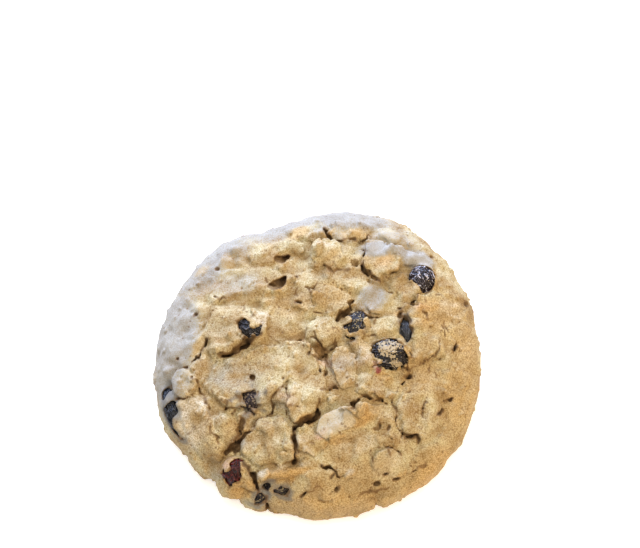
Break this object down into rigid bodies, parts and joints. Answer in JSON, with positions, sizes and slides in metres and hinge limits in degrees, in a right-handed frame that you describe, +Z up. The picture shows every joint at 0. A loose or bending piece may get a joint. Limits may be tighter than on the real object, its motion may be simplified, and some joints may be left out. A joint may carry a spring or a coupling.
{
  "type": "oatmeal raisin cookie",
  "caption": "Thick, roughly round drop cookie with a craggy top of oat flakes and dough lumps, open cracks, raisins set in pockets and a flat underside.",
  "frame": {"origin": "middle of the footprint's bounding box, on the flat underside", "axes": "+Z up through the thickness, away from the flat underside; +X to the right and +Y away from the viewer"},
  "size_m": [0.0802, 0.0787, 0.0205],
  "materials": {
    "dough": "baked oat dough, matt and floury, toasted at the high edges",
    "raisin": "dark wrinkled raisin skin with a soft sheen"
  },
  "bodies": {
    "root": {"dough": "dough", "raisin_right_rim": "raisin", "raisin_middle": "raisin", "raisin_crevice": "raisin", "raisin_crusted": "raisin", "raisin_left": "raisin", "raisin_low_left": "raisin", "raisin_edge": "raisin", "raisin_red": "raisin", "raisin_front": "raisin", "raisin_front_low": "raisin"}
  },
  "joints": []
}
